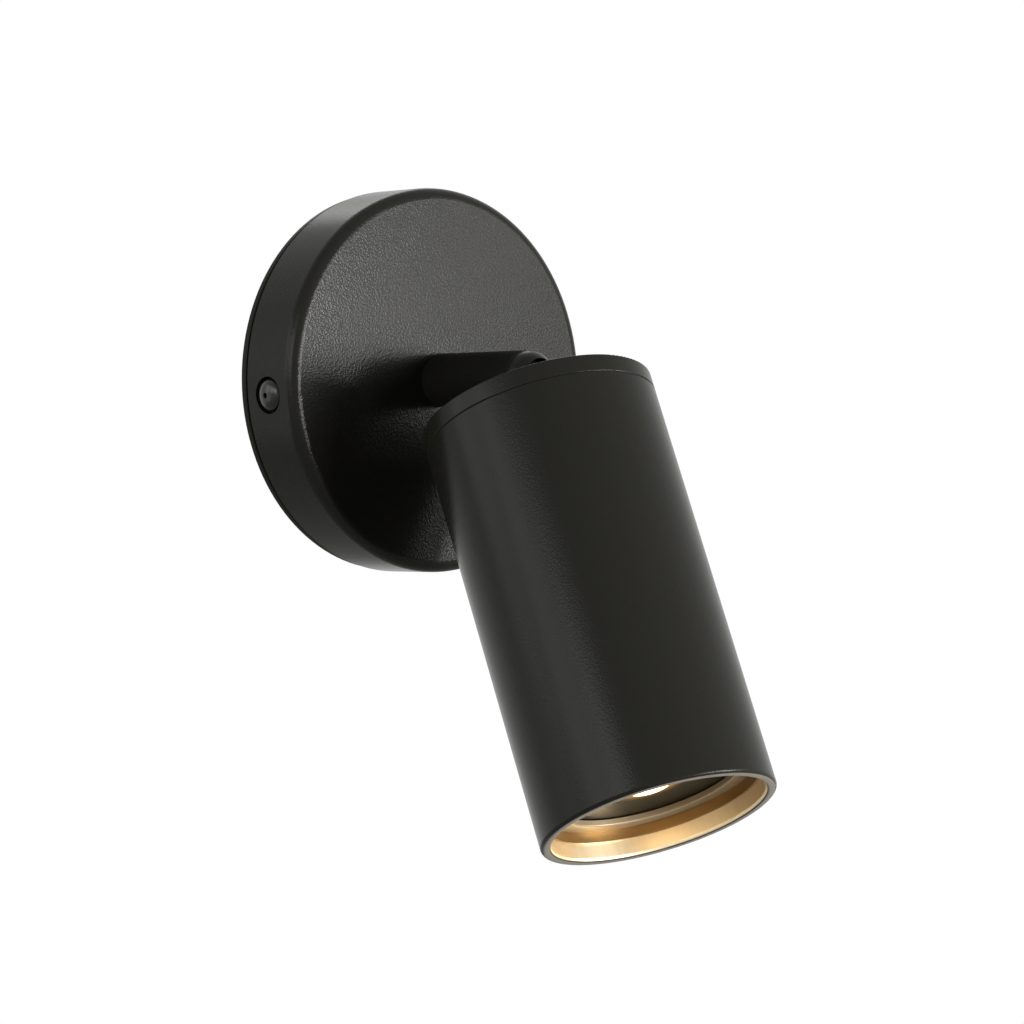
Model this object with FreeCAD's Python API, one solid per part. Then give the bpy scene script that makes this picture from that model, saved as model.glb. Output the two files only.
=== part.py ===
import FreeCAD, Part
import math
import os

# Pivoting spotlight wall light: a round canopy on the wall, a short arm that
# swivels about its own axis, and a cylindrical head that tilts in the slotted
# ball at the arm's end.
#
# Millimetres. The wall is the XZ plane, the origin is the middle of the wall
# plate's back face, the light stands out along -Y, and +Z is up.
#
# Everything is drawn in one of two local frames, (across, up, out):
#   wall frame: out is the distance from the wall,
#   head frame: out is the distance from the tilt pivot along the head.
# to_wall() and to_head() put the finished pieces in place.

# ---------------------------------------------------------------- fits
FIT_GAP = 0.05            # a shaft in its hole, on the radius
SEAT_GAP = 0.1            # between faces that move past or lie on each other
SLIP_GAP = 0.1            # a turned piece in its bore, on the radius
OVER = 1.0                # how far a cut runs past the face that it opens
HEAD_ROUND = 1.2          # round of the small screws' heads
WELD = 0.4                # how far a welded or folded piece reaches into its carrier

# ---------------------------------------------------------------- canopy
CANOPY_RADIUS = 50.0
CANOPY_DEPTH = 18.0       # rear rim to flat face
CANOPY_WALL = 1.5
CANOPY_ROUND = 3.0        # outer round between side and face
RIM_GAP = 1.3             # open gap between wall plate and rear rim

# ---------------------------------------------------------------- wall plate
PLATE_INSET = 0.5         # plate edge inside the canopy's side
PLATE_THICK = 1.7
PLATE_EDGE_ROUND = 0.4
SLOT_SPACING = 46.0       # wall screw slots, centre to centre
SLOT_HALF_WIDTH = 2.5
SLOT_LENGTH = 10.0
BEND_RADIUS = 0.6         # inside of the folded angles
TAB_WIDTH = 12.0
TAB_THICK = 1.7
TAB_FOOT = 9.0            # angle's foot on the plate
TAB_MARGIN = 4.0          # angle beyond the screw's axis
TAB_CORNER = 2.5

# ---------------------------------------------------------------- side screws
SIDE_TURN = 7.6           # screw axis away from the horizontal, degrees
SIDE_FROM_RIM = 8.0       # rear rim to screw axis
RECESS_RADIUS = 4.8
RECESS_DEPTH = 2.4        # canopy side to the screw's seat
RECESS_FLOOR = 1.2
RECESS_WALL = 1.0
BUTTON_RADIUS = 3.95
BUTTON_HEIGHT = 2.6
BUTTON_BRIM = 0.7         # straight edge under the button's crown
BUTTON_TOP_RADIUS = 2.6   # where the crown's sides would meet the top
BUTTON_CROWN = 2.5        # round of the crown
BUTTON_SOCKET = 2.5       # hexagon across its flats
SOCKET_DEPTH = 1.4
SIDE_SHANK_RADIUS = 1.95
SIDE_SHANK_LENGTH = 6.5
SIDE_HOLE_PLAY = 0.25

# ---------------------------------------------------------------- cable entry
GROMMET_RISE = 24.0       # above the middle of the plate
GROMMET_SLEEVE = 6.0
GROMMET_BORE = 4.0
GROMMET_FLANGE = 8.0
GROMMET_FLANGE_THICK = 1.3

# ---------------------------------------------------------------- terminals
BLOCK_DROP = 26.0         # below the middle of the plate
BLOCK_WIDTH = 21.0
BLOCK_LENGTH = 16.0
BLOCK_HEIGHT = 13.0
BLOCK_ROUND = 1.0
POLE_SPACING = 10.5
TUBE_RADIUS = 2.9
TUBE_BORE = 1.7
TUBE_LENGTH = 14.0
CLAMP_SPACING = 8.0
CLAMP_RADIUS = 1.4
CLAMP_SINK = 0.8          # clamp screw below the block's face
CLAMP_HOLE_PLAY = 0.4
BLOCK_SCREW_RADIUS = 1.45
BLOCK_HEAD_RADIUS = 2.7
BLOCK_HEAD_HEIGHT = 1.8
BLOCK_HEAD_SINK = 2.4

# ---------------------------------------------------------------- earth screw
EARTH_ACROSS = 19.0
EARTH_RISE = 21.0
EARTH_SHANK_RADIUS = 1.95
EARTH_HEAD_RADIUS = 3.8
EARTH_HEAD_HEIGHT = 2.6
EARTH_WASHER_RADIUS = 4.5
EARTH_WASHER_THICK = 0.9

# ---------------------------------------------------------------- arm
ARM_WALL = 1.85           # around the nipple
ARM_CHAMFER = 0.4
NIPPLE_RADIUS = 5.0
NIPPLE_BORE = 3.4
NIPPLE_IN_ARM = 12.0
NIPPLE_TAIL = 1.5         # nipple beyond its nut
SPIGOT_STEP = 0.45        # knuckle's bore wider than the nipple's, on the radius
SPIGOT_LENGTH = 12.0
SPIGOT_CHAMFER = 0.5
STOP_WASHER_RADIUS = 9.0
STOP_WASHER_THICK = 1.2
STOP_TAB_REACH = 14.0
STOP_TAB_WIDTH = 2.2
STOP_LUG_START = 10.0
STOP_LUG_WIDTH = 2.2
STOP_LUG_HEIGHT = 1.8
SPLIT_WASHER_RADIUS = 8.0
SPLIT_WASHER_THICK = 1.4
SPLIT_WIDTH = 1.0
ARM_NUT_FLATS = 14.0
ARM_NUT_THICK = 3.2
NUT_CHAMFER = 0.5

# ---------------------------------------------------------------- knuckle
SEAM_LAND = 0.2           # straight land between the seam and the ball
STEM_RADIUS = 4.5
KNUCKLE_PLAY = 0.3        # between stem and slot
PIN_RADIUS = 1.25
PIN_SINK = 0.4            # pin's end below the ball
PIN_FROM_BORE = 0.3       # pin's inner end short of the wire's way
WIRE_RADIUS = 2.5         # way for the wires through spigot and stem
EYE_HALF_WIDTH = 3.85
EYE_LENGTH = 5.0          # flats of the eye, measured from the pin
WASHER_RADIUS = 2.6
WASHER_THICK = 0.8
POCKET_PLAY = 0.25        # around a friction washer

# ---------------------------------------------------------------- head
TILT = 25.71              # head axis forward of straight down, degrees
CAP_CLEARANCE = 1.9       # arm's side to cap when the head hangs down
SWING_CLEARANCE = 3.2     # canopy's face to head when the head hangs down
HEAD_LENGTH = 112.5       # cap and tube together
HEAD_WALL = 3.4
LAMP_CLEARANCE = 1.6      # lamp's rim to the tube's bore
CAP_HEIGHT = 4.7          # cap's face to the seam
CAP_PLATE = 2.2
CAP_EDGE_ROUND = 0.45
SEAM_ROUND = 0.3
CAP_SPIGOT_LENGTH = 6.0
CAP_SPIGOT_WALL = 2.5
CAP_INNER_ROUND = 1.0
LIP_ROUND = 1.0
RING_STEP = 0.6           # mouth wider than the tube's bore, the ring's seat
BOSS_RADIUS = 3.2
BOSS_HEIGHT = 3.0
BOSS_FROM_AXIS = 16.0
THREAD_RADIUS = 3.95      # stem below its shoulder
STEM_TAIL = 1.0           # stem beyond its nut
STEM_WASHER_RADIUS = 8.0
STEM_WASHER_THICK = 1.0
STEM_NUT_FLATS = 13.0
STEM_NUT_THICK = 4.0

# ---------------------------------------------------------------- front ring
RING_DEPTH = 9.1          # mouth's rim to the ring's seat
RING_PLATE = 1.6
RING_COLLAR = 4.3         # ring's height at its outside
RING_COLLAR_WALL = 0.6
RING_OVERLAP = 2.7        # ring over the lamp's rim
RING_EDGE_ROUND = 0.4

# ---------------------------------------------------------------- lamp
LAMP_RADIUS = 25.0
LAMP_LENGTH = 54.0        # face to the ends of the pins
LAMP_RIM = 8.0            # straight part behind the face
LAMP_NECK_RADIUS = 14.5
LAMP_FLANK = 25.0         # round between rim and flank
LAMP_FACE_EDGE = 1.1      # rim around the face
FACE_THICK = 1.2
FACE_SINK = 0.2
OPTIC_RADIUS = 5.5
OPTIC_RISE = 1.0          # optic in front of the face
OPTIC_ROUND = 0.7
BASE_RADIUS = 13.0
BASE_LENGTH = 11.0
BASE_ROUND = 1.2
PIN_LENGTH = 6.7          # contact pins behind the base
PIN_SPACING = 10.0
PIN_NECK_RADIUS = 1.5
PIN_HEAD_RADIUS = 2.5
PIN_HEAD_LENGTH = 2.6

# ---------------------------------------------------------------- lamp holder
HOLDER_RADIUS = 14.0
HOLDER_LENGTH = 15.0
HOLDER_ROUND = 1.0
HOLDER_PIN_PLAY = 0.3
CONTACT_THICK = 0.8
HOLDER_SCREW_SPACING = 20.0
SCREW_RADIUS = 1.45
SCREW_HEAD_RADIUS = 2.6
SCREW_HEAD_HEIGHT = 1.8
HOLDER_SCREW_REACH = 7.0
STRAP_THICK = 1.2
STRAP_WIDTH = 14.0
STRAP_FROM_AXIS = 20.8    # outside of the strap's legs
STRAP_FOOT = 8.8
STRAP_BEND = 0.6
STRAP_WIRE_HOLE = 4.0

# ---------------------------------------------------------------- places, out from the wall
PLATE_RADIUS = CANOPY_RADIUS - PLATE_INSET
RIM_OUT = PLATE_THICK + RIM_GAP
FACE_OUT = RIM_OUT + CANOPY_DEPTH
FACE_INNER = FACE_OUT - CANOPY_WALL
SCREW_OUT = RIM_OUT + SIDE_FROM_RIM
SCREW_SEAT = CANOPY_RADIUS - RECESS_DEPTH
TAB_FACE = SCREW_SEAT - RECESS_FLOOR - SEAT_GAP
TAB_TOP = SCREW_OUT + TAB_MARGIN
NIPPLE_HOLE = NIPPLE_RADIUS + FIT_GAP
ARM_RADIUS = NIPPLE_HOLE + ARM_WALL
SPIGOT_HOLE = NIPPLE_HOLE + SPIGOT_STEP
SPIGOT_RADIUS = SPIGOT_HOLE - FIT_GAP
ARM_START = FACE_OUT + SEAT_GAP
TUBE_BORE_RADIUS = LAMP_RADIUS + LAMP_CLEARANCE
HEAD_RADIUS = TUBE_BORE_RADIUS + HEAD_WALL
PIVOT_OUT = FACE_OUT + SWING_CLEARANCE + HEAD_RADIUS
SEAM_OUT = PIVOT_OUT - SEAM_LAND
SPIGOT_START = SEAM_OUT - SPIGOT_LENGTH
STOP_WASHER_OUT = FACE_INNER - SEAT_GAP - STOP_WASHER_THICK
SPLIT_WASHER_OUT = STOP_WASHER_OUT - SPLIT_WASHER_THICK
ARM_NUT_OUT = SPLIT_WASHER_OUT - ARM_NUT_THICK
NIPPLE_START = ARM_NUT_OUT - NIPPLE_TAIL
NIPPLE_END = ARM_START + NIPPLE_IN_ARM
SLOT_HALF = STEM_RADIUS + KNUCKLE_PLAY

# ---------------------------------------------------------------- places, out from the pivot
CAP_OUT = ARM_RADIUS + CAP_CLEARANCE
CAP_SEAM = CAP_OUT + CAP_HEIGHT
CAP_UNDER = CAP_OUT + CAP_PLATE
CAP_SPIGOT_RADIUS = TUBE_BORE_RADIUS - SLIP_GAP
RIM_END = CAP_OUT + HEAD_LENGTH
MOUTH_RADIUS = TUBE_BORE_RADIUS + RING_STEP
RING_SEAT = RIM_END - RING_DEPTH
RING_FACE = RING_SEAT + RING_PLATE
RING_OUTER = MOUTH_RADIUS - SLIP_GAP
RING_OPENING = LAMP_RADIUS - RING_OVERLAP
LAMP_FRONT = RING_SEAT - SEAT_GAP
FACE_FRONT = LAMP_FRONT - FACE_SINK
FACE_BACK = FACE_FRONT - FACE_THICK
RECESS_BACK = FACE_BACK - SEAT_GAP
BASE_BACK = LAMP_FRONT - LAMP_LENGTH + PIN_LENGTH
BASE_FRONT = BASE_BACK + BASE_LENGTH
HOLDER_FRONT = BASE_BACK - SEAT_GAP
HOLDER_BACK = HOLDER_FRONT - HOLDER_LENGTH
PIN_END = BASE_BACK - PIN_LENGTH
CONTACT_FRONT = PIN_END - SEAT_GAP
STRAP_WEB = HOLDER_BACK
STRAP_FEET = CAP_UNDER + BOSS_HEIGHT
STEM_NUT_START = CAP_UNDER + STEM_WASHER_THICK
STEM_END = STEM_NUT_START + STEM_NUT_THICK + STEM_TAIL


# ---------------------------------------------------------------- drawing helpers
def vec(across, up, out):
    return FreeCAD.Vector(across, up, out)


AXIS_OUT = vec(0, 0, 1)
AXIS_UP = vec(0, 1, 0)
AXIS_ACROSS = vec(1, 0, 0)
CENTRE = vec(0, 0, 0)


def rounded_wire(points, place):
    """Closed wire through (a, b, corner radius); a corner is kept within its sides."""
    flat = [vec(point[0], point[1], 0) for point in points]
    count = len(points)
    starts, ends, middles = [], [], []
    for index in range(count):
        corner = flat[index]
        back = flat[index - 1] - corner
        ahead = flat[(index + 1) % count] - corner
        radius = points[index][2] if len(points[index]) > 2 else 0.0
        half = back.getAngle(ahead) / 2.0
        longest = min(back.Length, ahead.Length)
        if points[index - 1][2:] or points[(index + 1) % count][2:]:
            longest = longest / 2.0
        reach = min(radius / math.tan(half), longest) if radius else 0.0
        back.normalize()
        ahead.normalize()
        starts.append(corner + back * reach)
        ends.append(corner + ahead * reach)
        if reach:
            inward = back + ahead
            inward.normalize()
            radius = reach * math.tan(half)
            distance = radius / math.sin(half) - radius
            middles.append(corner + inward * distance)
        else:
            middles.append(None)
    edges = []
    for index in range(count):
        if middles[index] is not None:
            edges.append(Part.Arc(place(starts[index]), place(middles[index]),
                                  place(ends[index])).toShape())
        following = starts[(index + 1) % count]
        if ends[index].distanceToPoint(following) > 1e-6:
            edges.append(Part.LineSegment(place(ends[index]), place(following)).toShape())
    return Part.Wire(edges)


def turned(points):
    """Solid turned about the out axis from (radius, out, corner radius)."""
    wire = rounded_wire(points, lambda p: vec(p.x, 0, p.y))
    return Part.Face(wire).revolve(CENTRE, AXIS_OUT, 360)


def profile_across(points, half_height):
    """Outline in (across, out), as tall as twice half_height."""
    wire = rounded_wire(points, lambda p: vec(p.x, -half_height, p.y))
    return Part.Face(wire).extrude(vec(0, 2 * half_height, 0))


def rod(radius, start, end):
    return Part.makeCylinder(radius, end - start, vec(0, 0, start), AXIS_OUT)


def tube(outer, inner, start, end):
    return rod(outer, start, end).cut(rod(inner, start - OVER, end + OVER))


def cross_rod(radius, half_length):
    return Part.makeCylinder(radius, 2 * half_length, vec(-half_length, 0, 0), AXIS_ACROSS)


def block(low, high):
    return Part.makeBox(high[0] - low[0], high[1] - low[1], high[2] - low[2],
                        vec(low[0], low[1], low[2]))


def moved(shape, across=0.0, up=0.0, out=0.0):
    copy = shape.copy()
    copy.translate(vec(across, up, out))
    return copy


def slot_cut(length, half_width, start, end):
    """Round-ended slot along the across axis."""
    reach = length / 2.0 - half_width
    middle = block((-reach, -half_width, start), (reach, half_width, end))
    side = rod(half_width, start, end)
    return middle.fuse([moved(side, across=reach), moved(side, across=-reach)])


def hexagon(flats, start, end):
    corner = flats / math.sqrt(3.0)
    steps = [math.radians(60 * step + 30) for step in range(7)]
    points = [vec(corner * math.cos(step), corner * math.sin(step), start) for step in steps]
    return Part.Face(Part.makePolygon(points)).extrude(vec(0, 0, end - start))


def hex_nut(flats, hole, start, thick):
    """Nut with its corners chamfered on both faces."""
    corner = flats / math.sqrt(3.0)
    envelope = turned([(0, start), (corner - NUT_CHAMFER, start), (corner, start + NUT_CHAMFER),
                       (corner, start + thick - NUT_CHAMFER),
                       (corner - NUT_CHAMFER, start + thick), (0, start + thick)])
    body = hexagon(flats, start, start + thick).common(envelope)
    return body.cut(rod(hole, start - OVER, start + thick + OVER))


def pan_screw(shank, head, head_height, tip, seat):
    """Screw that points back: shank from tip to seat, rounded head beyond the seat."""
    top = seat + head_height
    return turned([(0, tip), (shank, tip), (shank, seat), (head, seat),
                   (head, top, HEAD_ROUND), (0, top)])


def joined(shapes):
    return shapes[0].fuse(shapes[1:]).removeSplitter()


def at_side(shape, turn):
    """Put a shape that is drawn along the out axis on the canopy's side."""
    copy = shape.copy()
    copy.rotate(CENTRE, AXIS_UP, 90)
    copy.rotate(CENTRE, AXIS_OUT, turn)
    copy.translate(vec(0, 0, SCREW_OUT))
    return copy


def on_both_sides(shape):
    return [at_side(shape, SIDE_TURN), at_side(shape, SIDE_TURN + 180)]


def turned_both_ways(shape):
    """The same piece at each side tab, drawn in the wall frame along across."""
    pieces = []
    for turn in (SIDE_TURN, SIDE_TURN + 180):
        copy = shape.copy()
        copy.rotate(CENTRE, AXIS_OUT, turn)
        pieces.append(copy)
    return pieces


# ---------------------------------------------------------------- wall side
def welded_angle():
    """Folded angle spot-welded to the plate, with a rounded free end."""
    back = TAB_FACE - TAB_THICK
    toe = back - TAB_FOOT
    top = PLATE_THICK + TAB_THICK
    sheet = profile_across([(back, TAB_TOP), (TAB_FACE, TAB_TOP),
                            (TAB_FACE, PLATE_THICK - WELD), (toe, PLATE_THICK - WELD),
                            (toe, top), (back, top, BEND_RADIUS)], TAB_WIDTH / 2.0)
    ends = [edge for edge in sheet.Edges
            if abs(edge.CenterOfMass.z - TAB_TOP) < 1e-3
            and abs(abs(edge.CenterOfMass.y) - TAB_WIDTH / 2.0) < 1e-3]
    return sheet.makeFillet(TAB_CORNER, ends)


def wall_plate():
    disc = turned([(0, 0), (PLATE_RADIUS, 0), (PLATE_RADIUS, PLATE_THICK, PLATE_EDGE_ROUND),
                   (0, PLATE_THICK)])
    plate = joined([disc] + turned_both_ways(welded_angle()))
    through = (-OVER, PLATE_THICK + OVER)
    slot = slot_cut(SLOT_LENGTH, SLOT_HALF_WIDTH, *through)
    holes = [moved(slot, across=SLOT_SPACING / 2.0), moved(slot, across=-SLOT_SPACING / 2.0)]
    holes.append(moved(rod(GROMMET_SLEEVE, *through), up=GROMMET_RISE))
    holes.append(moved(rod(BLOCK_SCREW_RADIUS + FIT_GAP, *through), up=-BLOCK_DROP))
    holes.append(moved(rod(EARTH_SHANK_RADIUS + FIT_GAP, *through), EARTH_ACROSS, EARTH_RISE))
    tapped = rod(SIDE_SHANK_RADIUS + FIT_GAP, TAB_FACE - TAB_THICK - OVER, TAB_FACE + OVER)
    return plate.cut(holes + on_both_sides(tapped))


def cable_grommet():
    flange = PLATE_THICK + GROMMET_FLANGE_THICK
    sleeve = GROMMET_SLEEVE - FIT_GAP
    body = turned([(GROMMET_BORE, 0), (sleeve, 0), (sleeve, PLATE_THICK),
                   (GROMMET_FLANGE, PLATE_THICK),
                   (GROMMET_FLANGE, flange, GROMMET_FLANGE_THICK / 2.0), (GROMMET_BORE, flange)])
    return moved(body, up=GROMMET_RISE)


def canopy():
    inner = CANOPY_RADIUS - CANOPY_WALL
    shell = turned([(inner, RIM_OUT), (CANOPY_RADIUS, RIM_OUT),
                    (CANOPY_RADIUS, FACE_OUT, CANOPY_ROUND), (NIPPLE_HOLE, FACE_OUT),
                    (NIPPLE_HOLE, FACE_INNER), (inner, FACE_INNER, CANOPY_ROUND - CANOPY_WALL)])
    cup = rod(RECESS_RADIUS + RECESS_WALL, SCREW_SEAT - RECESS_FLOOR,
              CANOPY_RADIUS - CANOPY_WALL / 2.0)
    lug = block((-STOP_LUG_WIDTH / 2.0, STOP_LUG_START, FACE_INNER - STOP_LUG_HEIGHT),
                (STOP_LUG_WIDTH / 2.0, STOP_TAB_REACH, FACE_INNER + WELD))
    body = joined([shell, lug] + on_both_sides(cup))
    recess = rod(RECESS_RADIUS, SCREW_SEAT, CANOPY_RADIUS + OVER)
    hole = rod(SIDE_SHANK_RADIUS + SIDE_HOLE_PLAY, TAB_FACE, CANOPY_RADIUS + OVER)
    return body.cut(on_both_sides(recess) + on_both_sides(hole))


def canopy_screws():
    top = SCREW_SEAT + BUTTON_HEIGHT
    screw = turned([(0, SCREW_SEAT - SIDE_SHANK_LENGTH),
                    (SIDE_SHANK_RADIUS, SCREW_SEAT - SIDE_SHANK_LENGTH),
                    (SIDE_SHANK_RADIUS, SCREW_SEAT), (BUTTON_RADIUS, SCREW_SEAT),
                    (BUTTON_RADIUS, SCREW_SEAT + BUTTON_BRIM),
                    (BUTTON_TOP_RADIUS, top, BUTTON_CROWN), (0, top)])
    screw = screw.cut(hexagon(BUTTON_SOCKET, top - SOCKET_DEPTH, top + OVER))
    return on_both_sides(screw)


def clamp_places():
    half_pole, half_clamp = POLE_SPACING / 2.0, CLAMP_SPACING / 2.0
    return [(across, up - BLOCK_DROP) for across in (-half_pole, half_pole)
            for up in (-half_clamp, half_clamp)]


def terminal_height():
    return PLATE_THICK + BLOCK_HEIGHT / 2.0


def terminal_tubes():
    half = TUBE_LENGTH / 2.0
    pole = Part.makeCylinder(TUBE_RADIUS, TUBE_LENGTH, vec(0, -half, 0), AXIS_UP)
    pole = pole.cut(Part.makeCylinder(TUBE_BORE, TUBE_LENGTH + 2 * OVER, vec(0, -half - OVER, 0),
                                      AXIS_UP))
    hole = rod(CLAMP_RADIUS + FIT_GAP, 0, TUBE_RADIUS + OVER)
    pole = pole.cut([moved(hole, up=CLAMP_SPACING / 2.0), moved(hole, up=-CLAMP_SPACING / 2.0)])
    return [moved(pole, across, -BLOCK_DROP, terminal_height())
            for across in (-POLE_SPACING / 2.0, POLE_SPACING / 2.0)]


def terminal_block():
    top = PLATE_THICK + BLOCK_HEIGHT
    half_length = BLOCK_LENGTH / 2.0
    body = block((-BLOCK_WIDTH / 2.0, -half_length, PLATE_THICK),
                 (BLOCK_WIDTH / 2.0, half_length, top))
    upright = [edge for edge in body.Edges if abs(edge.tangentAt(0).z) > 0.9]
    body = moved(body.makeFillet(BLOCK_ROUND, upright), up=-BLOCK_DROP)
    pole = Part.makeCylinder(TUBE_RADIUS + FIT_GAP, BLOCK_LENGTH + 2 * OVER,
                             vec(0, -half_length - OVER, 0), AXIS_UP)
    cuts = [moved(pole, across, -BLOCK_DROP, terminal_height())
            for across in (-POLE_SPACING / 2.0, POLE_SPACING / 2.0)]
    clamp = rod(CLAMP_RADIUS + CLAMP_HOLE_PLAY, terminal_height(), top + OVER)
    cuts += [moved(clamp, across, up) for across, up in clamp_places()]
    fixing = rod(BLOCK_SCREW_RADIUS + FIT_GAP, 0, top + OVER)
    sink = rod(BLOCK_HEAD_RADIUS + CLAMP_HOLE_PLAY, top - BLOCK_HEAD_SINK, top + OVER)
    cuts += [moved(fixing, up=-BLOCK_DROP), moved(sink, up=-BLOCK_DROP)]
    return body.cut(cuts)


def terminal_screws():
    top = PLATE_THICK + BLOCK_HEIGHT - CLAMP_SINK
    screw = rod(CLAMP_RADIUS, terminal_height() + TUBE_BORE / 2.0, top)
    return [moved(screw, across, up) for across, up in clamp_places()]


def block_screw():
    seat = PLATE_THICK + BLOCK_HEIGHT - BLOCK_HEAD_SINK
    screw = pan_screw(BLOCK_SCREW_RADIUS, BLOCK_HEAD_RADIUS, BLOCK_HEAD_HEIGHT, 0, seat)
    return moved(screw, up=-BLOCK_DROP)


def earth_washer():
    ring = tube(EARTH_WASHER_RADIUS, EARTH_SHANK_RADIUS + FIT_GAP, PLATE_THICK,
                PLATE_THICK + EARTH_WASHER_THICK)
    return moved(ring, EARTH_ACROSS, EARTH_RISE)


def earth_screw():
    seat = PLATE_THICK + EARTH_WASHER_THICK
    screw = pan_screw(EARTH_SHANK_RADIUS, EARTH_HEAD_RADIUS, EARTH_HEAD_HEIGHT, 0, seat)
    return moved(screw, EARTH_ACROSS, EARTH_RISE)


# ---------------------------------------------------------------- arm, turns about the out axis
def stem_way():
    """All the room that the stem takes between hanging down and standing straight out."""
    far = 2 * ARM_RADIUS
    down = Part.makeCylinder(SLOT_HALF, far, CENTRE, vec(0, -1, 0))
    ahead = Part.makeCylinder(SLOT_HALF, far, CENTRE, AXIS_OUT)
    between = block((-SLOT_HALF, -far, 0), (SLOT_HALF, 0, far))
    way = Part.makeSphere(SLOT_HALF).fuse([down, ahead, between])
    return moved(way, out=PIVOT_OUT)


def pin_way():
    """Cross hole of the pivot pins, through the ball's cheeks and the arm's end."""
    return moved(cross_rod(PIN_RADIUS + FIT_GAP, ARM_RADIUS + OVER), out=PIVOT_OUT)


def arm_tube():
    body = turned([(NIPPLE_HOLE, ARM_START), (ARM_RADIUS, ARM_START),
                   (ARM_RADIUS, SEAM_OUT - ARM_CHAMFER), (ARM_RADIUS - ARM_CHAMFER, SEAM_OUT),
                   (SPIGOT_HOLE, SEAM_OUT), (SPIGOT_HOLE, NIPPLE_END + SEAT_GAP),
                   (NIPPLE_HOLE, NIPPLE_END + SEAT_GAP)])
    return body.cut([stem_way(), pin_way()])


def arm_nipple():
    return tube(NIPPLE_RADIUS, NIPPLE_BORE, NIPPLE_START, NIPPLE_END)


def stop_washer():
    end = STOP_WASHER_OUT + STOP_WASHER_THICK
    disc = rod(STOP_WASHER_RADIUS, STOP_WASHER_OUT, end)
    tab = block((-STOP_TAB_WIDTH / 2.0, -STOP_TAB_REACH, STOP_WASHER_OUT),
                (STOP_TAB_WIDTH / 2.0, -NIPPLE_RADIUS, end))
    return joined([disc, tab]).cut(rod(NIPPLE_HOLE, 0, FACE_OUT))


def split_washer():
    end = SPLIT_WASHER_OUT + SPLIT_WASHER_THICK
    ring = tube(SPLIT_WASHER_RADIUS, NIPPLE_HOLE, SPLIT_WASHER_OUT, end)
    split = block((-SPLIT_WIDTH / 2.0, 0, SPLIT_WASHER_OUT - OVER),
                  (SPLIT_WIDTH / 2.0, SPLIT_WASHER_RADIUS + OVER, end + OVER))
    return ring.cut(split)


def arm_nut():
    return hex_nut(ARM_NUT_FLATS, NIPPLE_HOLE, ARM_NUT_OUT, ARM_NUT_THICK)


def knuckle():
    """Ball end of the arm: a turned plug, slotted for the stem from front to underside."""
    tip = PIVOT_OUT + ARM_RADIUS
    plug = turned([(0, SPIGOT_START), (SPIGOT_RADIUS - SPIGOT_CHAMFER, SPIGOT_START),
                   (SPIGOT_RADIUS, SPIGOT_START + SPIGOT_CHAMFER), (SPIGOT_RADIUS, SEAM_OUT),
                   (ARM_RADIUS, SEAM_OUT), (ARM_RADIUS, PIVOT_OUT)]
                  + [(ARM_RADIUS, tip, ARM_RADIUS), (0, tip)])
    pocket = moved(cross_rod(WASHER_RADIUS + POCKET_PLAY, SLOT_HALF), out=PIVOT_OUT)
    wires = rod(WIRE_RADIUS, SPIGOT_START - OVER, PIVOT_OUT)
    return plug.cut([stem_way(), pocket, pin_way(), wires])


def pivot_pins():
    inner = WIRE_RADIUS + PIN_FROM_BORE
    outer = ARM_RADIUS - PIN_SINK
    right = Part.makeCylinder(PIN_RADIUS, outer - inner, vec(inner, 0, PIVOT_OUT), AXIS_ACROSS)
    return [right, moved(right, across=-inner - outer)]


def friction_washers():
    gap = (SLOT_HALF - EYE_HALF_WIDTH - WASHER_THICK) / 2.0
    inner = EYE_HALF_WIDTH + gap
    ring = tube(WASHER_RADIUS, PIN_RADIUS + FIT_GAP, 0, WASHER_THICK)
    ring.rotate(CENTRE, AXIS_UP, 90)
    right = moved(ring, inner, 0, PIVOT_OUT)
    return [right, moved(right, across=-2 * inner - WASHER_THICK)]


# ---------------------------------------------------------------- head, drawn along its own axis
def stem():
    body = joined([Part.makeSphere(STEM_RADIUS), rod(STEM_RADIUS, 0, CAP_OUT),
                   rod(THREAD_RADIUS, CAP_OUT - WELD, STEM_END)])
    far = 2 * STEM_RADIUS
    flat = block((EYE_HALF_WIDTH, -far, -far), (far, far, EYE_LENGTH))
    cuts = [flat, flat.mirror(CENTRE, AXIS_ACROSS)]
    cuts.append(cross_rod(PIN_RADIUS + FIT_GAP, far))
    cuts.append(rod(WIRE_RADIUS, -far, STEM_END + OVER))
    return body.cut(cuts)


def stem_washer():
    return tube(STEM_WASHER_RADIUS, THREAD_RADIUS + FIT_GAP, CAP_UNDER, STEM_NUT_START)


def stem_nut():
    return hex_nut(STEM_NUT_FLATS, THREAD_RADIUS + FIT_GAP, STEM_NUT_START, STEM_NUT_THICK)


def rear_cap():
    """Turned cap with a spigot for the tube and two bosses for the holder's strap."""
    spigot_end = CAP_SEAM + CAP_SPIGOT_LENGTH
    spigot_inner = CAP_SPIGOT_RADIUS - CAP_SPIGOT_WALL
    hole = THREAD_RADIUS + FIT_GAP
    cap = turned([(hole, CAP_OUT), (HEAD_RADIUS, CAP_OUT, CAP_EDGE_ROUND),
                  (HEAD_RADIUS, CAP_SEAM, SEAM_ROUND), (CAP_SPIGOT_RADIUS, CAP_SEAM),
                  (CAP_SPIGOT_RADIUS, spigot_end, SEAM_ROUND), (spigot_inner, spigot_end),
                  (spigot_inner, CAP_UNDER, CAP_INNER_ROUND), (hole, CAP_UNDER)])
    boss = rod(BOSS_RADIUS, CAP_UNDER - WELD, CAP_UNDER + BOSS_HEIGHT)
    tapped = rod(SCREW_RADIUS + FIT_GAP, CAP_UNDER - WELD, STRAP_FEET + OVER)
    pair = (-BOSS_FROM_AXIS, BOSS_FROM_AXIS)
    cap = joined([cap] + [moved(boss, across=across) for across in pair])
    return cap.cut([moved(tapped, across=across) for across in pair])


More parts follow.
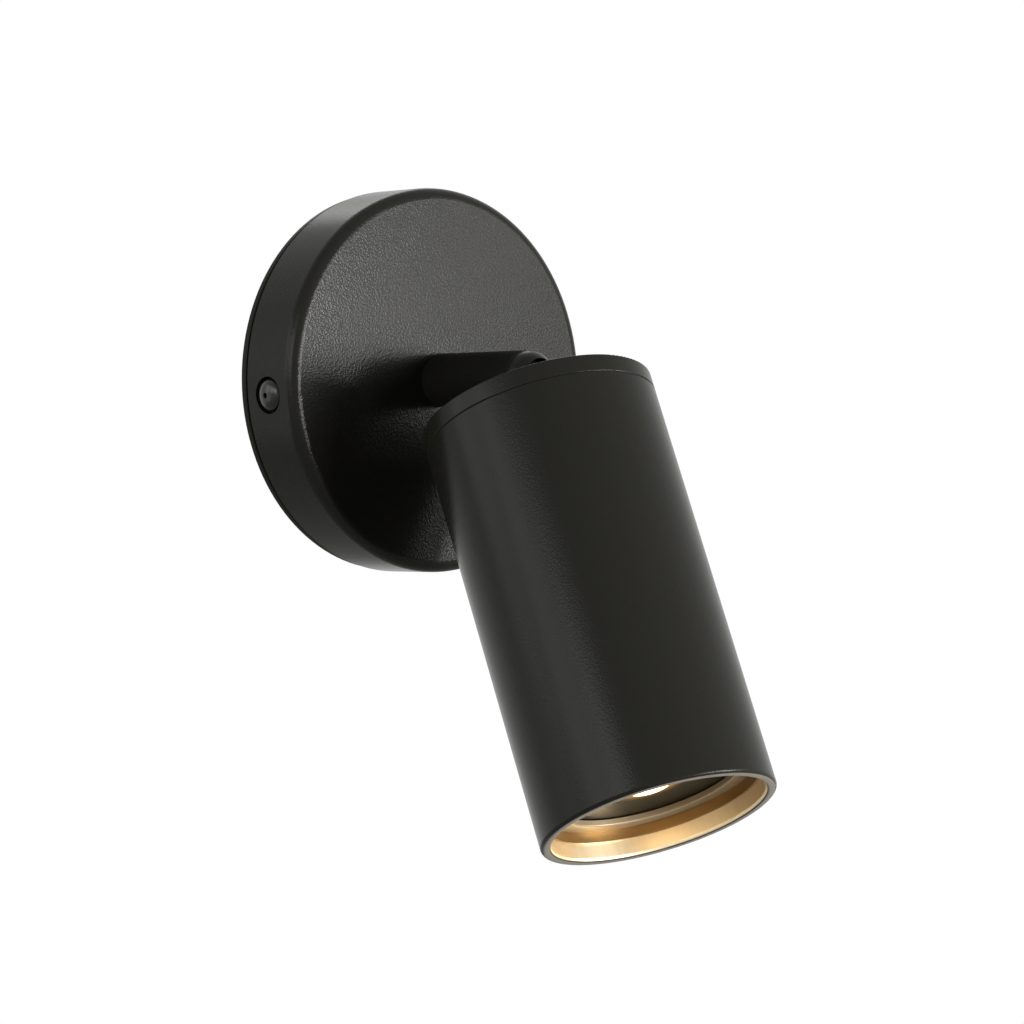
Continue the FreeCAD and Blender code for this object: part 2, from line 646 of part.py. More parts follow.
def head_tube():
    return turned([(TUBE_BORE_RADIUS, CAP_SEAM), (HEAD_RADIUS, CAP_SEAM, SEAM_ROUND),
                   (HEAD_RADIUS, RIM_END, LIP_ROUND), (MOUTH_RADIUS, RIM_END, LIP_ROUND),
                   (MOUTH_RADIUS, RING_SEAT), (TUBE_BORE_RADIUS, RING_SEAT)])


def lamp_ring():
    """Front ring: a low collar in the mouth and a flat plate over the lamp's rim."""
    collar = RING_SEAT + RING_COLLAR
    inner = RING_OUTER - RING_COLLAR_WALL
    return turned([(RING_OPENING, RING_SEAT), (RING_OUTER, RING_SEAT), (RING_OUTER, collar),
                   (inner, collar), (inner, RING_FACE), (RING_OPENING, RING_FACE, RING_EDGE_ROUND)])


def lamp_body():
    inner = LAMP_RADIUS - LAMP_FACE_EDGE
    return turned([(0, BASE_FRONT), (LAMP_NECK_RADIUS, BASE_FRONT),
                   (LAMP_RADIUS, LAMP_FRONT - LAMP_RIM, LAMP_FLANK), (LAMP_RADIUS, LAMP_FRONT),
                   (inner, LAMP_FRONT), (inner, RECESS_BACK), (0, RECESS_BACK)])


def lamp_face():
    outer = LAMP_RADIUS - LAMP_FACE_EDGE - SLIP_GAP
    return tube(outer, OPTIC_RADIUS + SLIP_GAP, FACE_BACK, FACE_FRONT)


def lamp_optic():
    front = FACE_FRONT + OPTIC_RISE
    return turned([(0, FACE_BACK), (OPTIC_RADIUS, FACE_BACK), (OPTIC_RADIUS, front, OPTIC_ROUND),
                   (0, front)])


def lamp_base():
    return turned([(0, BASE_BACK), (BASE_RADIUS, BASE_BACK, BASE_ROUND),
                   (BASE_RADIUS, BASE_FRONT), (0, BASE_FRONT)])


def lamp_pins():
    neck_end = PIN_END + PIN_HEAD_LENGTH
    pin = turned([(0, PIN_END), (PIN_HEAD_RADIUS, PIN_END), (PIN_HEAD_RADIUS, neck_end),
                  (PIN_NECK_RADIUS, neck_end), (PIN_NECK_RADIUS, BASE_BACK), (0, BASE_BACK)])
    return [moved(pin, up=PIN_SPACING / 2.0), moved(pin, up=-PIN_SPACING / 2.0)]


def lamp_holder():
    body = turned([(0, HOLDER_BACK), (HOLDER_RADIUS, HOLDER_BACK, HOLDER_ROUND),
                   (HOLDER_RADIUS, HOLDER_FRONT, HOLDER_ROUND), (0, HOLDER_FRONT)])
    way = rod(PIN_HEAD_RADIUS + HOLDER_PIN_PLAY, CONTACT_FRONT - CONTACT_THICK,
              HOLDER_FRONT + OVER)
    screw = rod(SCREW_RADIUS + FIT_GAP, HOLDER_BACK - OVER,
                HOLDER_BACK + HOLDER_SCREW_REACH + SEAT_GAP)
    cuts = [moved(way, up=PIN_SPACING / 2.0), moved(way, up=-PIN_SPACING / 2.0)]
    cuts += [moved(screw, across=HOLDER_SCREW_SPACING / 2.0),
             moved(screw, across=-HOLDER_SCREW_SPACING / 2.0)]
    return body.cut(cuts)


def holder_contacts():
    plate = rod(PIN_HEAD_RADIUS, CONTACT_FRONT - CONTACT_THICK, CONTACT_FRONT)
    return [moved(plate, up=PIN_SPACING / 2.0), moved(plate, up=-PIN_SPACING / 2.0)]


def holder_strap():
    """Folded strap: feet on the cap's bosses, legs, and a web behind the holder."""
    legs, inside = STRAP_FROM_AXIS, STRAP_FROM_AXIS - STRAP_THICK
    toe = STRAP_FROM_AXIS - STRAP_FOOT
    low, web = STRAP_FEET, STRAP_WEB - STRAP_THICK
    outer_bend = STRAP_BEND + STRAP_THICK
    right = [(toe, low), (legs, low, outer_bend), (legs, STRAP_WEB, outer_bend)]
    right_inside = [(inside, web, STRAP_BEND), (inside, low + STRAP_THICK, STRAP_BEND),
                    (toe, low + STRAP_THICK)]
    left = [(-point[0],) + point[1:] for point in reversed(right)]
    left_inside = [(-point[0],) + point[1:] for point in reversed(right_inside)]
    strap = profile_across(right + left + left_inside + right_inside, STRAP_WIDTH / 2.0)
    hole = rod(SCREW_RADIUS + FIT_GAP, web - OVER, STRAP_WEB + OVER)
    foot_hole = rod(SCREW_RADIUS + FIT_GAP, low - OVER, low + STRAP_THICK + OVER)
    cuts = [rod(STRAP_WIRE_HOLE, web - OVER, STRAP_WEB + OVER)]
    for side in (-1, 1):
        cuts.append(moved(hole, across=side * HOLDER_SCREW_SPACING / 2.0))
        cuts.append(moved(foot_hole, across=side * BOSS_FROM_AXIS))
    return strap.cut(cuts)


def holder_screws():
    seat = STRAP_WEB - STRAP_THICK
    top = seat - SCREW_HEAD_HEIGHT
    tip = HOLDER_BACK + HOLDER_SCREW_REACH
    screw = turned([(0, top), (SCREW_HEAD_RADIUS, top, HEAD_ROUND), (SCREW_HEAD_RADIUS, seat),
                    (SCREW_RADIUS, seat), (SCREW_RADIUS, tip), (0, tip)])
    return [moved(screw, across=HOLDER_SCREW_SPACING / 2.0),
            moved(screw, across=-HOLDER_SCREW_SPACING / 2.0)]


def strap_screws():
    seat = STRAP_FEET + STRAP_THICK
    screw = pan_screw(SCREW_RADIUS, SCREW_HEAD_RADIUS, SCREW_HEAD_HEIGHT, CAP_UNDER, seat)
    return [moved(screw, across=BOSS_FROM_AXIS), moved(screw, across=-BOSS_FROM_AXIS)]


# ---------------------------------------------------------------- placing and writing
def to_wall(shape):
    shape.rotate(CENTRE, AXIS_ACROSS, 90)
    return shape


def to_head(shape):
    shape.rotate(CENTRE, AXIS_ACROSS, 180 - TILT)
    shape.translate(FreeCAD.Vector(0, -PIVOT_OUT, 0))
    return shape


WALL_PIECES = [wall_plate, cable_grommet, canopy, canopy_screws, terminal_block, terminal_tubes,
               terminal_screws, block_screw, earth_washer, earth_screw, arm_tube, arm_nipple,
               stop_washer, split_washer, arm_nut, knuckle, pivot_pins, friction_washers]
HEAD_PIECES = [stem, stem_washer, stem_nut, rear_cap, head_tube, lamp_ring, lamp_body, lamp_face,
               lamp_optic, lamp_base, lamp_pins, lamp_holder, holder_contacts, holder_strap,
               holder_screws, strap_screws]


def write(piece, place):
    made = piece()
    solids = []
    for shape in made if isinstance(made, list) else [made]:
        solids += shape.Solids
    shape = solids[0] if len(solids) == 1 else Part.makeCompound(solids)
    place(shape).exportStep("parts/" + piece.__name__ + ".step")
    box = shape.BoundBox
    print("%-18s solids %d valid %s volume %.1f  y %.2f..%.2f  z %.2f..%.2f" % (
        piece.__name__, len(solids), shape.isValid(), shape.Volume,
        box.YMin, box.YMax, box.ZMin, box.ZMax))


os.makedirs("parts", exist_ok=True)
for piece in WALL_PIECES:
    write(piece, to_wall)
for piece in HEAD_PIECES:
    write(piece, to_head)
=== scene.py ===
import math

import bmesh
import bpy
from mathutils import Matrix, Vector


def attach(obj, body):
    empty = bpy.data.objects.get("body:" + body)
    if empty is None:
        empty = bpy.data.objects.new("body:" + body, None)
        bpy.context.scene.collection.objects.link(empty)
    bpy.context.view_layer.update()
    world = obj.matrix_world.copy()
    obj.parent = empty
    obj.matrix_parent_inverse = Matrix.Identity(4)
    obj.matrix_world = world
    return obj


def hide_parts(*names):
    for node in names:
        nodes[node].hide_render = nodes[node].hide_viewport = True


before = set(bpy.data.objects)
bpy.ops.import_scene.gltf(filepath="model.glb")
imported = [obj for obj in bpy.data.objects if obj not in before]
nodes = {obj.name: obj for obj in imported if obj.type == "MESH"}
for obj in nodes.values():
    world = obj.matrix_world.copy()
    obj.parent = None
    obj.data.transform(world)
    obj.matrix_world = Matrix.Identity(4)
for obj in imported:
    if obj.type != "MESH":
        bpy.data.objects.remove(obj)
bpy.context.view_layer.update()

# Places on the light, in metres as in the solids. Head radii are from the head's own
# axis, and "out" runs along that axis from the tilt pivot to the open end.
PIVOT = Vector((0.0, -0.0542, 0.0))
TILT = math.radians(25.71)      # the head's lean from hanging straight down
MOUTH_RADIUS = 0.0272
MOUTH_OUT = 0.1122              # where the tube widens into its mouth
RIM_OUT = 0.1213                # the open end
COLLAR_RADIUS = 0.0265          # inside of the lamp ring's collar
OPTIC_RADIUS = 0.0055
OPTIC_CORE_RADIUS = 0.0025      # the optic is whitest within this
GLOW_RADIUS = 0.0125            # the glow on the lens ends here
PLATE_FRONT_Y = -0.0017         # the wall plate's face inside the canopy

# Side screws, measured outwards from the canopy's axis
SCREW_TURN = 7.6                # degrees off the horizontal
SCREW_Y = -0.011
SHANK_END = 0.0406
SHANK_TIP_RADIUS = 0.0013
SHANK_RADIUS = 0.00165
THREAD_RADIUS = 0.00194
THREAD_PITCH = 0.0007
THREAD_MARGIN = 0.0004          # plain shank left at each end of the thread
SCREW_SEAT = 0.0476
BEARING_RADIUS = 0.0036         # flat under the head
HEAD_RADIUS = 0.00415
HEAD_CHAMFER = 0.0006
DOME_FOOT = 0.0489
DOME_HEIGHT = 0.0020
DOME_ARC = (4.0, 80.0)          # degrees up from the dome's foot; the socket opens above
DOME_STEPS = 12
SOCKET_HALF_FLAT = 0.0007
SOCKET_DEPTH = 0.0011
SCREW_SIDES = 48
SMOOTH_ANGLE = math.radians(35.0)

# Linear colours
COAT = (0.0112, 0.0109, 0.0088)
# Painted shade: the wall plate's face inside the canopy is painted near black for the
# shadow in the gap behind the canopy rim
PAINTED_GAP_SHADE = (0.003, 0.003, 0.003)
# Painted reflection: the head's lip is painted paler for the bright surroundings it
# reflects
PAINTED_LIP_REFLECTION = (0.20, 0.18, 0.15)
GOLD = (0.97, 0.82, 0.56)
COLLAR_GOLD = (0.30, 0.18, 0.07)
RING_TAN = (0.32, 0.25, 0.16)
LENS_OLIVE = (0.014, 0.011, 0.005)
GLOW_AMBER = (0.75, 0.36, 0.10)
OPTIC_PALE, OPTIC_AMBER = (0.9, 0.85, 0.7), (0.8, 0.6, 0.3)
LIGHT_PALE, LIGHT_AMBER = (1.0, 0.86, 0.62), (1.0, 0.62, 0.26)
STEEL = (0.56, 0.56, 0.54)
BRASS = (0.72, 0.52, 0.22)
BLACK = (0.0, 0.0, 0.0)
WHITE = (1.0, 1.0, 1.0)
DIM = (0.05, 0.05, 0.05)
PAPER_DEEP, PAPER_PALE = (0.86, 0.86, 0.86), (0.92, 0.92, 0.92)

# Powder coat: scales are cells or waves to the metre
COAT_SPECULAR = 0.1
CELL_SCALE = 1850.0
PEEL_SCALE = 2100.0
DRIFT_SCALE = 26.0
GRAIN_DEPTH = 0.00007
LENS_STEP_RATE = 5200.0         # radians to the metre of radius, a step each 1.2 mm


# ------------------------------------------------------------------ node trees
class Value:
    """One output in a node tree; arithmetic on values adds Math nodes."""

    def __init__(self, tree, socket):
        self.tree = tree
        self.socket = socket

    def maths(self, operation, first, second):
        return self.tree.node("ShaderNodeMath", {"operation": operation},
                              {0: first, 1: second})

    def __add__(self, other):
        return self.maths("ADD", self, other)

    def __radd__(self, other):
        return self.maths("ADD", other, self)

    def __rsub__(self, other):
        return self.maths("SUBTRACT", other, self)

    def __mul__(self, other):
        return self.maths("MULTIPLY", self, other)

    def __rmul__(self, other):
        return self.maths("MULTIPLY", other, self)

    def __pow__(self, other):
        return self.maths("POWER", self, other)


class Tree:
    """A node tree that is filled one node at a time."""

    def __init__(self, tree):
        self.tree = tree
        self.tree.nodes.clear()

    def feed(self, socket, value):
        if isinstance(value, Value):
            self.tree.links.new(value.socket, socket)
        else:
            socket.default_value = value

    def node(self, kind, settings, inputs, output=0):
        """Add a node; the value it gives is None for an output node."""
        made = self.tree.nodes.new(kind)
        for key, value in settings.items():
            setattr(made, key, value)
        for key, value in inputs.items():
            self.feed(made.inputs[key], value)
        return Value(self, made.outputs[output]) if made.outputs else None

    def outputs(self, kind, inputs):
        """Every output of a new node, by its name."""
        made = self.node(kind, {}, inputs).socket.node
        return {socket.name: Value(self, socket) for socket in made.outputs}

    def blend(self, share, first, second):
        """Colour between two colours."""
        return self.node("ShaderNodeMix", {"data_type": "RGBA"},
                         {0: share, 6: first, 7: second}, 2)

    def rise(self, value, low, high):
        """0 below low, 1 above high, smooth between them."""
        return self.node("ShaderNodeMapRange", {"interpolation_type": "SMOOTHSTEP"},
                         {"Value": value, "From Min": low, "From Max": high})

    def place(self):
        return self.node("ShaderNodeTexCoord", {}, {}, "Object")

    def noise(self, place, scale, detail=2.0, roughness=0.5):
        return self.node("ShaderNodeTexNoise", {},
                         {"Vector": place, "Scale": scale, "Detail": detail,
                          "Roughness": roughness})

    def cells(self, place, scale, smoothness):
        return self.node("ShaderNodeTexVoronoi", {"feature": "SMOOTH_F1"},
                         {"Vector": place, "Scale": scale, "Smoothness": smoothness})


class Finish(Tree):
    """A material with one Principled shader; keywords set its plain sockets."""

    def __init__(self, name, **plain):
        self.material = bpy.data.materials.new(name)
        self.material.use_nodes = True
        super().__init__(self.material.node_tree)
        self.shader = self.tree.nodes.new("ShaderNodeBsdfPrincipled")
        self.node("ShaderNodeOutputMaterial", {},
                  {"Surface": Value(self, self.shader.outputs["BSDF"])})
        for key, value in plain.items():
            self.shader.inputs[key.replace("_", " ")].default_value = value

    def set(self, socket, value):
        self.feed(self.shader.inputs[socket], value)

    def relief(self, height, strength, depth):
        self.set("Normal", self.node("ShaderNodeBump", {},
                                     {"Strength": strength, "Distance": depth,
                                      "Height": height}))


def opaque(tint):
    return (*tint, 1.0)


def shades(tint, spread=0.22):
    """A deeper and a paler form of one colour."""
    deep = [channel * (1.0 - spread) for channel in tint]
    pale = [channel * (1.0 + spread) for channel in tint]
    return opaque(deep), opaque(pale)


def head_place(tree):
    """(across, up, out) in the head's own frame."""
    turn = math.pi + TILT
    moved = Matrix.Rotation(turn, 3, "X") @ PIVOT
    return tree.node("ShaderNodeMapping", {},
                     {"Vector": tree.place(), "Location": -moved, "Rotation": (turn, 0, 0)})


def radius_and_out(tree, place):
    """Distance from the head's axis, and along it."""
    axes = tree.outputs("ShaderNodeSeparateXYZ", {"Vector": place})
    radius = (axes["X"] * axes["X"] + axes["Y"] * axes["Y"]) ** 0.5
    return radius, axes["Z"]


# ------------------------------------------------------------------ finishes
def powder_grain(coat, grain, coated=1.0):
    """Give a coat its orange-peel relief; returns its patchy shade and its peel."""
    place = coat.place()
    cells = coat.cells(place, CELL_SCALE, 0.35)
    peel = coat.noise(place, PEEL_SCALE, 2.0, 0.6)
    drift = coat.noise(place, DRIFT_SCALE)
    coat.relief((cells + peel * 0.35) * coated, 0.5 * grain, GRAIN_DEPTH)
    return 0.25 + 0.3 * peel + 0.2 * drift, peel


def powder_coat(name, roughness, grain):
    """Black textured powder coat: fine uneven grain with a soft sheen."""
    coat = Finish(name, Specular_IOR_Level=COAT_SPECULAR)
    shade, peel = powder_grain(coat, grain)
    coat.set("Base Color", coat.blend(shade, *shades(COAT)))
    coat.set("Roughness", roughness - 0.04 + 0.08 * peel)
    return coat


def brushed_streaks(tree, place):
    """Fine streaks that run along the head's axis."""
    stretched = tree.node("ShaderNodeMapping", {},
                          {"Vector": place, "Scale": (1.0, 1.0, 0.04)})
    return tree.noise(stretched, 900.0)


def head_coat():
    """The head's coat; its mouth is bare satin gold and its lip is painted paler, a painted
    reflection of the bright surroundings below.
    """
    coat = Finish("head_powder_coat", Specular_IOR_Level=COAT_SPECULAR)
    place = head_place(coat)
    radius, out = radius_and_out(coat, place)
    within = 1.0 - coat.rise(radius, MOUTH_RADIUS + 0.00015, MOUTH_RADIUS + 0.00035)
    inside = within * coat.rise(out, MOUTH_OUT - 0.0002, MOUTH_OUT + 0.0002)
    # Painted reflection: the lip is painted paler for the bright surroundings below it
    lip = coat.rise(out, RIM_OUT - 0.0002, RIM_OUT - 0.00002) * (1.0 - inside)
    shade, peel = powder_grain(coat, 0.6, 1.0 - inside)
    streaks = brushed_streaks(coat, place)
    outer = coat.blend(shade, *shades(COAT))
    lip_with_painted_reflection = coat.blend(lip, outer, opaque(PAINTED_LIP_REFLECTION))
    gold = coat.blend(streaks, *shades(GOLD, 0.05))
    coat.set("Base Color", coat.blend(inside, lip_with_painted_reflection, gold))
    coat.set("Metallic", inside)
    coat.set("Roughness", (0.20 + 0.08 * peel) * (1.0 - inside)
             + inside * (0.36 + 0.04 * streaks))
    return coat


def ring_finish():
    """Lamp ring: satin gold collar, paler flat plate over the lamp's rim."""
    ring = Finish("ring_satin_gold", Specular_IOR_Level=0.4)
    place = head_place(ring)
    radius = radius_and_out(ring, place)[0]
    plate = 1.0 - ring.rise(radius, COLLAR_RADIUS - 0.0003, COLLAR_RADIUS)
    streaks = brushed_streaks(ring, place)
    cloud = ring.noise(ring.place(), 150.0, 3.0)
    collar = ring.blend(streaks, *shades(COLLAR_GOLD, 0.06))
    flat = ring.blend(cloud, *shades(RING_TAN, 0.1))
    ring.set("Base Color", ring.blend(plate, collar, flat))
    ring.set("Metallic", 1.0 - 0.55 * plate)
    ring.set("Roughness", 0.36 + 0.04 * streaks + 0.04 * plate)
    ring.relief(cloud, 0.1, 0.00004)
    return ring


def face_finish():
    """Dark olive lens with faint concentric steps and a warm glow round its middle."""
    lens = Finish("lamp_face_lens", Specular_IOR_Level=0.08, Emission_Strength=1.0)
    radius = radius_and_out(lens, head_place(lens))[0]
    steps = lens.node("ShaderNodeMath", {"operation": "SINE"}, {0: radius * LENS_STEP_RATE})
    cloud = lens.noise(lens.place(), 90.0)
    glow = (1.0 - lens.rise(radius, OPTIC_RADIUS, GLOW_RADIUS)) ** 2.2
    lens.set("Base Color", lens.blend(cloud, *shades(LENS_OLIVE)))
    lens.set("Emission Color", lens.blend(glow, opaque(BLACK), opaque(GLOW_AMBER)))
    lens.set("Roughness", 0.3 + 0.1 * cloud)
    lens.relief(steps, 0.15, 0.00006)
    return lens


def optic_finish():
    """The glowing middle of the lamp."""
    glow = Finish("lamp_optic_glow", Roughness=0.15, Specular_IOR_Level=0.5,
                  Emission_Strength=5.0)
    radius = radius_and_out(glow, head_place(glow))[0]
    edge = glow.rise(radius, OPTIC_CORE_RADIUS, OPTIC_RADIUS + 0.0001)
    glow.set("Base Color", glow.blend(edge, opaque(OPTIC_PALE), opaque(OPTIC_AMBER)))
    glow.set("Emission Color", glow.blend(edge, opaque(LIGHT_PALE), opaque(LIGHT_AMBER)))
    return glow


def plate_finish():
    """The wall plate's coat, matt, with painted shade on its face inside the canopy, where
    the shadow gap falls.
    """
    coat = Finish("plate_powder_coat", Specular_IOR_Level=0.06)
    depth = coat.outputs("ShaderNodeSeparateXYZ", {"Vector": coat.place()})["Y"]
    # Painted shade: darkens the plate's face inside the canopy, where the shadow gap falls
    gap_shade_face = 1.0 - coat.rise(depth, PLATE_FRONT_Y + 0.00002, PLATE_FRONT_Y + 0.0001)
    shade, peel = powder_grain(coat, 0.5)
    outer = coat.blend(shade, *shades(COAT))
    coat.set("Base Color", coat.blend(gap_shade_face, outer, opaque(PAINTED_GAP_SHADE)))
    coat.set("Roughness", 0.36 + 0.08 * peel + 0.3 * gap_shade_face)
    return coat


def metal(name, tint, roughness):
    """Bare metal with slight clouding and fine tool marks."""
    bare = Finish(name, Metallic=0.95)
    place = bare.place()
    cloud = bare.noise(place, 160.0, 3.0)
    fine = bare.noise(place, 2400.0)
    bare.set("Base Color", bare.blend(cloud, *shades(tint, 0.1)))
    bare.set("Roughness", roughness + 0.05 * fine)
    bare.relief(fine, 0.08, 0.00003)
    return bare


def moulded(name, tint, roughness, specular=0.4):
    """Moulded plastic, ceramic or rubber: slight clouding and a fine skin."""
    skin = Finish(name, Specular_IOR_Level=specular)
    place = skin.place()
    cloud = skin.noise(place, 70.0)
    fine = skin.noise(place, 1400.0)
    skin.set("Base Color", skin.blend(cloud, *shades(tint, 0.06)))
    skin.set("Roughness", roughness - 0.05 + 0.1 * fine)
    skin.relief(fine, 0.15, 0.00004)
    return skin


arm_coat = powder_coat("arm_powder_coat", 0.24, 0.5)
steel = metal("zinc_plated_steel", STEEL, 0.34)
brass = metal("turned_brass", BRASS, 0.3)
black_oxide = moulded("black_oxide_screw", (0.010, 0.010, 0.009), 0.22, 0.28)

# Nodes that aren't named here are zinc-plated steel
finishes = {
    "canopy": powder_coat("canopy_powder_coat", 0.22, 1.0),
    "wall_plate": plate_finish(),
    "arm_tube": arm_coat,
    "knuckle": arm_coat,
    "stem": arm_coat,
    "rear_cap": powder_coat("cap_powder_coat", 0.24, 0.6),
    "head_tube": head_coat(),
    "lamp_ring": ring_finish(),
    "lamp_face": face_finish(),
    "lamp_optic": optic_finish(),
    "canopy_screws": black_oxide,
    "pivot_pins": black_oxide,
    "cable_grommet": moulded("grommet_rubber", (0.03, 0.03, 0.03), 0.7),
    "terminal_block": moulded("terminal_nylon", (0.74, 0.73, 0.68), 0.5),
    "friction_washers": moulded("washer_nylon", (0.76, 0.75, 0.70), 0.45),
    "lamp_body": moulded("lamp_shell", (0.70, 0.70, 0.68), 0.35),
    "lamp_base": moulded("lamp_base_plastic", (0.76, 0.75, 0.72), 0.4),
    "lamp_holder": moulded("holder_ceramic", (0.76, 0.75, 0.71), 0.5),
    "terminal_tubes": brass,
    "earth_screw": brass,
    "earth_washer": brass,
    "holder_contacts": brass,
}
for name, piece in nodes.items():
    piece.data.materials.clear()
    piece.data.materials.append(finishes.get(name, steel).material)


# ------------------------------------------------------------------ pieces
def turned(profile, steps):
    """A line of (radius, along) points spun into a solid about +Z."""
    shape = bmesh.new()
    points = [shape.verts.new((radius, 0.0, along)) for radius, along in profile]
    line = [shape.edges.new(pair) for pair in zip(points, points[1:])]
    bmesh.ops.spin(shape, geom=points + line, cent=(0, 0, 0), axis=(0, 0, 1),
                   angle=math.tau, steps=steps, use_merge=True)
    bmesh.ops.remove_doubles(shape, verts=shape.verts, dist=1e-7)
    return shape


def finished(shape, name, finish, body):
    """Turn a mesh's faces outwards, shade it, and hang it on a body."""
    bmesh.ops.recalc_face_normals(shape, faces=shape.faces)
    for face in shape.faces:
        face.smooth = True
    mesh = bpy.data.meshes.new(name)
    shape.to_mesh(mesh)
    shape.free()
    mesh.set_sharp_from_angle(angle=SMOOTH_ANGLE)
    mesh.materials.append(finish.material)
    piece = bpy.data.objects.new(name, mesh)
    bpy.context.scene.collection.objects.link(piece)
    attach(piece, body)
    return piece


def screw_profile():
    """Half outline of a side screw, open at the top for its socket."""
    thread = []
    along = SHANK_END + THREAD_MARGIN
    while along + THREAD_PITCH < SCREW_SEAT - THREAD_MARGIN:
        thread += [(SHANK_RADIUS, along), (THREAD_RADIUS, along + THREAD_PITCH * 0.5)]
        along += THREAD_PITCH
    low, high = DOME_ARC
    turns = [math.radians(low + (high - low) * step / DOME_STEPS)
             for step in range(DOME_STEPS + 1)]
    dome = [(HEAD_RADIUS * math.cos(turn), DOME_FOOT + DOME_HEIGHT * math.sin(turn))
            for turn in turns]
    return [(0.0, SHANK_END), (SHANK_TIP_RADIUS, SHANK_END), *thread,
            (SHANK_RADIUS, SCREW_SEAT), (BEARING_RADIUS, SCREW_SEAT),
            (HEAD_RADIUS, SCREW_SEAT + HEAD_CHAMFER), (HEAD_RADIUS, DOME_FOOT), *dome]


def dome_screw():
    """Domed screw along +Z with a hexagonal socket."""
    shape = turned(screw_profile(), SCREW_SIDES)
    mouth = [edge for edge in shape.edges if len(edge.link_faces) == 1]
    for vert in {vert for edge in mouth for vert in edge.verts}:
        turn = math.atan2(vert.co.y, vert.co.x)
        from_flat = (turn + math.pi / 6) % (math.pi / 3) - math.pi / 6
        size = SOCKET_HALF_FLAT / math.cos(from_flat)
        vert.co.x, vert.co.y = size * math.cos(turn), size * math.sin(turn)
    walls = bmesh.ops.extrude_edge_only(shape, edges=mouth)["geom"]
    low = [item for item in walls if isinstance(item, bmesh.types.BMVert)]
    bmesh.ops.translate(shape, verts=low, vec=(0.0, 0.0, -SOCKET_DEPTH))
    ring = [item for item in walls if isinstance(item, bmesh.types.BMEdge)]
    bmesh.ops.contextual_create(shape, geom=ring)
    return shape


def side_screws():
    """Both side screws, opposite each other and off the horizontal."""
    both = bmesh.new()
    for turn in (math.radians(SCREW_TURN), math.radians(SCREW_TURN + 180.0)):
        single = dome_screw()
        direction = Vector((math.cos(turn), 0.0, math.sin(turn)))
        turned_out = direction.to_track_quat("Z", "Y").to_matrix().to_4x4()
        place = Matrix.Translation((0.0, SCREW_Y, 0.0)) @ turned_out
        bmesh.ops.transform(single, matrix=place, verts=single.verts)
        loose = bpy.data.meshes.new("screw")
        single.to_mesh(loose)
        single.free()
        both.from_mesh(loose)
        bpy.data.meshes.remove(loose)
    piece = finished(both, "side_dome_screws", black_oxide, "wall_mount")
    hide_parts("canopy_screws")


side_screws()


# ------------------------------------------------------------------ studio
LIGHT_AIM = Vector((0.0, -0.05, -0.03))
LIGHT_DISTANCE = 1.5
SOFTBOXES = (
    # name, azimuth, elevation, width, height, watts, colour
    ("key", 31, 0, 0.2, 0.4, 16.8, (1.0, 1.0, 0.98)),
    ("key_inner", 17, 0, 0.2, 0.4, 10.0, (1.0, 0.98, 0.92)),
    ("edge_strip", 8, 0, 0.2, 0.4, 5.0, (1.0, 0.98, 0.94)),
    ("key_upper", 24, 11, 0.2, 0.4, 4.3, (0.98, 1.0, 0.95)),
    ("key_outer", 46, 11, 0.2, 0.4, 2.5, (1.0, 0.98, 0.96)),
    ("left_front", -75, 12, 0.6, 0.6, 5.6, (1.0, 1.0, 0.98)),
    ("left_side", -100, 12, 0.6, 0.6, 3.8, (1.0, 1.0, 1.0)),
    ("left_back", -125, 12, 0.6, 0.6, 2.5, (0.99, 1.0, 0.96)),
    ("left_low", -125, -14, 0.6, 0.6, 1.2, (0.98, 1.0, 0.92)),
    ("back_top", 150, 45, 0.6, 0.6, 2.7, (1.0, 0.99, 0.94)),
)
FLOOR_RADIUS = 0.75
FLOOR_CENTRE = (0.0, -0.05, -0.30)
# Fitted to the outlines of the canopy and the head in the photograph, degrees and mm
CAMERA_AZIMUTH, CAMERA_ELEVATION, CAMERA_ROLL = -42.0289, -1.3318, 1.6968
CAMERA_LENS = 143.325
# In metres from the origin, along the camera's own right, up and back
CAMERA_RIGHT, CAMERA_UP, CAMERA_BACK = 0.0323397, -0.03435, 1.075238


def toward(azimuth, elevation):
    """Direction in degrees: azimuth 0 is along -Y and grows towards +X."""
    turn, rise = math.radians(azimuth), math.radians(elevation)
    return Vector((math.sin(turn) * math.cos(rise), -math.cos(turn) * math.cos(rise),
                   math.sin(rise)))


def softbox(name, azimuth, elevation, width, height, watts, colour):
    lamp = bpy.data.lights.new(name, "AREA")
    lamp.shape = "RECTANGLE"
    lamp.size, lamp.size_y = width, height
    lamp.energy = watts
    lamp.color = colour
    box = bpy.data.objects.new(name, lamp)
    direction = toward(azimuth, elevation)
    box.location = LIGHT_AIM + direction * LIGHT_DISTANCE
    box.rotation_euler = direction.to_track_quat("Z", "Y").to_euler()
    box.visible_camera = False
    bpy.context.scene.collection.objects.link(box)


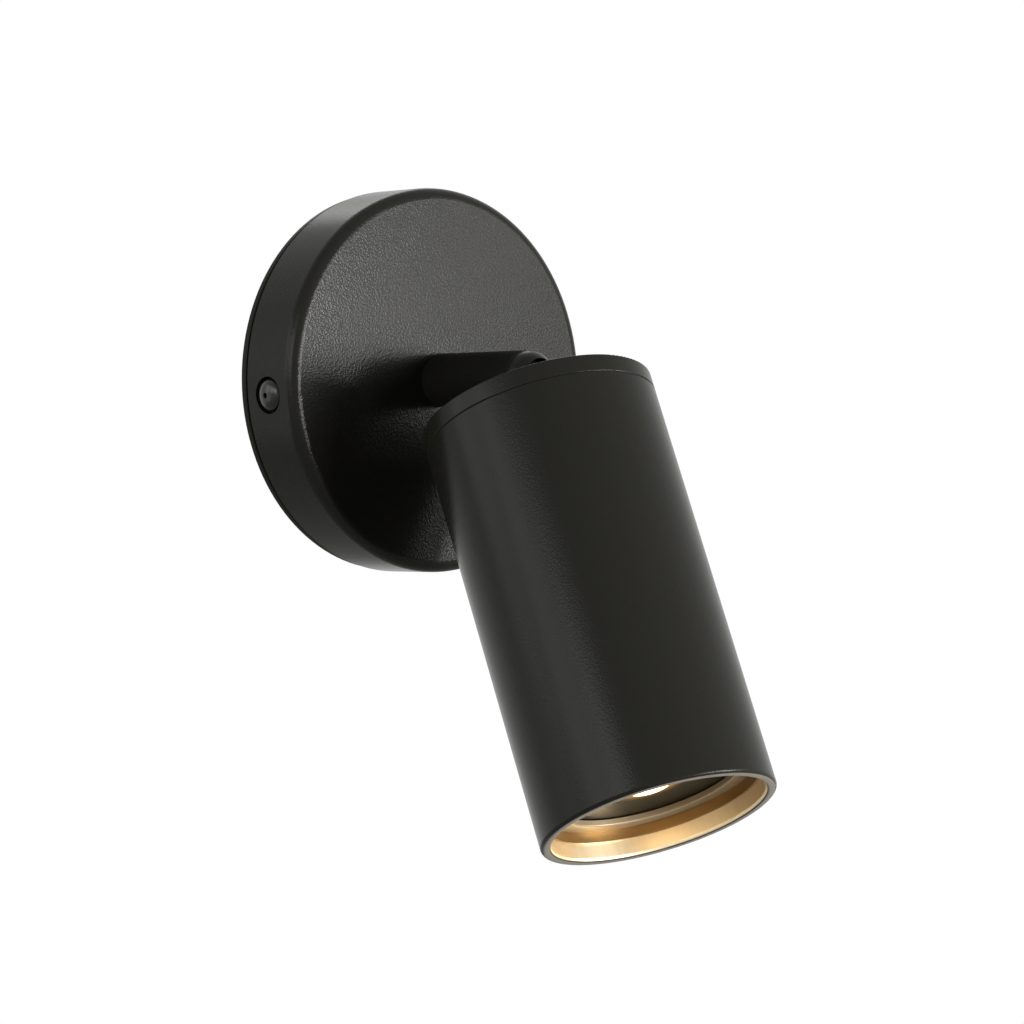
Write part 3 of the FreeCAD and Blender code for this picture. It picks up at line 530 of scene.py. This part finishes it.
def white_room():
    """White where the camera, a gloss or a glass looks past the light, dim elsewhere."""
    world = bpy.data.worlds.new("studio")
    bpy.context.scene.world = world
    world.use_nodes = True
    room = Tree(world.node_tree)
    rays = room.outputs("ShaderNodeLightPath", {})
    seen = rays["Is Camera Ray"] + rays["Is Glossy Ray"] + rays["Is Transmission Ray"]
    seen = room.node("ShaderNodeClamp", {}, {"Value": seen})
    colour = room.blend(seen, opaque(DIM), opaque(WHITE))
    back = room.node("ShaderNodeBackground", {}, {"Color": colour, "Strength": 1.0})
    room.node("ShaderNodeOutputWorld", {}, {"Surface": back})


def pale_floor():
    """Round sheet of pale paper under the light."""
    mesh = bpy.data.meshes.new("floor")
    shape = bmesh.new()
    bmesh.ops.create_circle(shape, cap_ends=True, segments=96, radius=FLOOR_RADIUS)
    bmesh.ops.translate(shape, verts=shape.verts, vec=FLOOR_CENTRE)
    shape.to_mesh(mesh)
    shape.free()
    floor = bpy.data.objects.new("floor", mesh)
    bpy.context.scene.collection.objects.link(floor)
    paper = Finish("floor_paper", Roughness=0.9, Specular_IOR_Level=0.1)
    cloud = paper.noise(paper.place(), 14.0, 3.0)
    paper.set("Base Color", paper.blend(cloud, opaque(PAPER_DEEP), opaque(PAPER_PALE)))
    mesh.materials.append(paper.material)


def photograph_camera():
    """Camera where the photograph was taken from."""
    azimuth, roll = math.radians(CAMERA_AZIMUTH), math.radians(CAMERA_ROLL)
    back = toward(CAMERA_AZIMUTH, CAMERA_ELEVATION)
    level = Vector((math.cos(azimuth), math.sin(azimuth), 0.0))
    rise = back.cross(level)
    right = level * math.cos(roll) + rise * math.sin(roll)
    up = rise * math.cos(roll) - level * math.sin(roll)
    place = right * CAMERA_RIGHT + up * CAMERA_UP + back * CAMERA_BACK
    lens = bpy.data.cameras.new("photograph")
    lens.sensor_width = 36.0
    lens.lens = CAMERA_LENS
    camera = bpy.data.objects.new("photograph", lens)
    camera.matrix_world = Matrix((
        (right.x, up.x, back.x, place.x), (right.y, up.y, back.y, place.y),
        (right.z, up.z, back.z, place.z), (0.0, 0.0, 0.0, 1.0)))
    bpy.context.scene.collection.objects.link(camera)
    bpy.context.scene.camera = camera


for row in SOFTBOXES:
    softbox(*row)
white_room()
pale_floor()
photograph_camera()
bpy.context.scene.view_settings.view_transform = "Standard"
